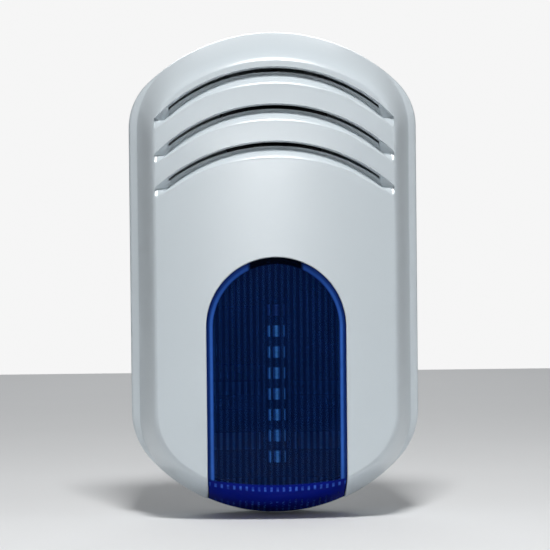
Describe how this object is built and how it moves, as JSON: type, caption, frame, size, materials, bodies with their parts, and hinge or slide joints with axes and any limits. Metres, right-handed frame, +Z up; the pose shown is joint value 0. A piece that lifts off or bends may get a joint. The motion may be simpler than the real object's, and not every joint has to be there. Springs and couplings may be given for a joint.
{
  "type": "alarm siren",
  "caption": "Wall-mounted outdoor siren with a strobe: hinged white cover with arched louvres over a horn, blue ribbed beacon lens over LEDs, back plate with boards and battery.",
  "frame": {"origin": "middle of the flat back face that lies on the wall", "axes": "+X to the right seen from the front, -Y out of the front, +Y into the wall, +Z up"},
  "size_m": [0.204, 0.0778, 0.34],
  "materials": {
    "cover_white": "satin moulded ABS, white with a cool cast",
    "beacon_blue": "clear blue polycarbonate, ribbed inside",
    "black_rubber": "black moulded rubber",
    "screw_steel": "zinc plated",
    "plate_white": "moulded ABS",
    "horn_black": "black ABS",
    "piezo_brass": "brass disc with a ceramic element",
    "board_green": "solder mask",
    "terminal_green": "moulded nylon",
    "ferrite": "ferrite core",
    "copper_coil": "enamelled copper winding",
    "capacitor_sleeve": "shrink sleeve",
    "chip_black": "moulded epoxy",
    "relay_black": "moulded case",
    "fuse_glass": "clear tube",
    "socket_cream": "moulded nylon",
    "bracket_black": "black coated steel",
    "led_board_black": "black solder mask",
    "led_clear": "clear epoxy over blue dice",
    "battery_case": "dark grey ABS battery case",
    "terminal_brass": "tinned brass push-on terminal",
    "lead_red": "PVC insulation",
    "lead_black": "PVC insulation",
    "strap_steel": "zinc plated strip",
    "plunger_red": "moulded acetal"
  },
  "bodies": {
    "base": {"back_plate": "plate_white", "hinge_pin_left": "screw_steel", "hinge_pin_right": "screw_steel", "led_bracket_screw_left": "screw_steel", "led_bracket_screw_right": "screw_steel", "battery_strap_screw_left": "screw_steel", "battery_strap_screw_right": "screw_steel", "cable_grommet": "black_rubber", "horn_cup": "horn_black", "horn_screw_1": "screw_steel", "horn_screw_2": "screw_steel", "horn_screw_3": "screw_steel", "piezo_diaphragm": "piezo_brass", "piezo_ring": "black_rubber", "horn_flare": "horn_black", "main_board": "board_green", "board_screw_1": "screw_steel", "board_screw_2": "screw_steel", "board_screw_3": "screw_steel", "board_screw_4": "screw_steel", "terminal_block": "terminal_green", "transformer_core": "ferrite", "transformer_coil": "copper_coil", "capacitor_large": "capacitor_sleeve", "control_chip": "chip_black", "relay": "relay_black", "fuse_holder": "chip_black", "fuse_tube": "fuse_glass", "led_socket": "socket_cream", "led_bracket": "bracket_black", "led_board": "led_board_black", "led_1": "led_clear", "led_2": "led_clear", "led_3": "led_clear", "led_4": "led_clear", "led_5": "led_clear", "led_6": "led_clear", "led_7": "led_clear", "led_8": "led_clear", "battery": "battery_case", "battery_terminal_positive": "terminal_brass", "battery_terminal_negative": "terminal_brass", "battery_lead_red": "lead_red", "battery_lead_black": "lead_black", "battery_strap": "strap_steel", "led_lead": "lead_black", "horn_lead": "lead_red", "cover_tamper_switch": "chip_black", "wall_tamper_switch": "chip_black"},
    "cover": {"front_cover": "cover_white", "beacon_lens": "beacon_blue", "lens_gasket": "black_rubber", "lens_screw_1": "screw_steel", "lens_screw_2": "screw_steel", "lens_screw_3": "screw_steel", "lens_screw_4": "screw_steel"},
    "screw_ring": {"lock_screw_ring": "black_rubber"},
    "lock_screw": {"lock_screw": "screw_steel"},
    "cover_tamper": {"cover_tamper_plunger": "plunger_red"},
    "wall_tamper": {"wall_tamper_plunger": "plunger_red"}
  },
  "joints": [
    {"name": "cover_hinge", "type": "hinge", "parent": "base", "child": "cover", "pos_m": [0, -0.013, 0.16], "axis": [-1, 0, 0], "range_deg": [0, 80]},
    {"name": "lock_screw_travel", "type": "slide", "parent": "cover", "child": "screw_ring", "axis": [0, 0, 1], "range_m": [0, 0.0052]},
    {"name": "lock_screw_turn", "type": "hinge", "parent": "screw_ring", "child": "lock_screw", "pos_m": [0, -0.013, -0.168], "axis": [0, 0, 1], "range_deg": [0, 1441]},
    {"name": "cover_tamper_press", "type": "slide", "parent": "base", "child": "cover_tamper", "axis": [0, 1, 0], "range_m": [0, 0.0025], "stiffness_N_per_m": 300},
    {"name": "wall_tamper_press", "type": "slide", "parent": "base", "child": "wall_tamper", "axis": [0, -1, 0], "range_m": [0, 0.0025], "stiffness_N_per_m": 300}
  ],
  "couplings": [
    {"joint": "lock_screw_turn", "follows": "lock_screw_travel", "rad_per_m": 4833.2}
  ]
}
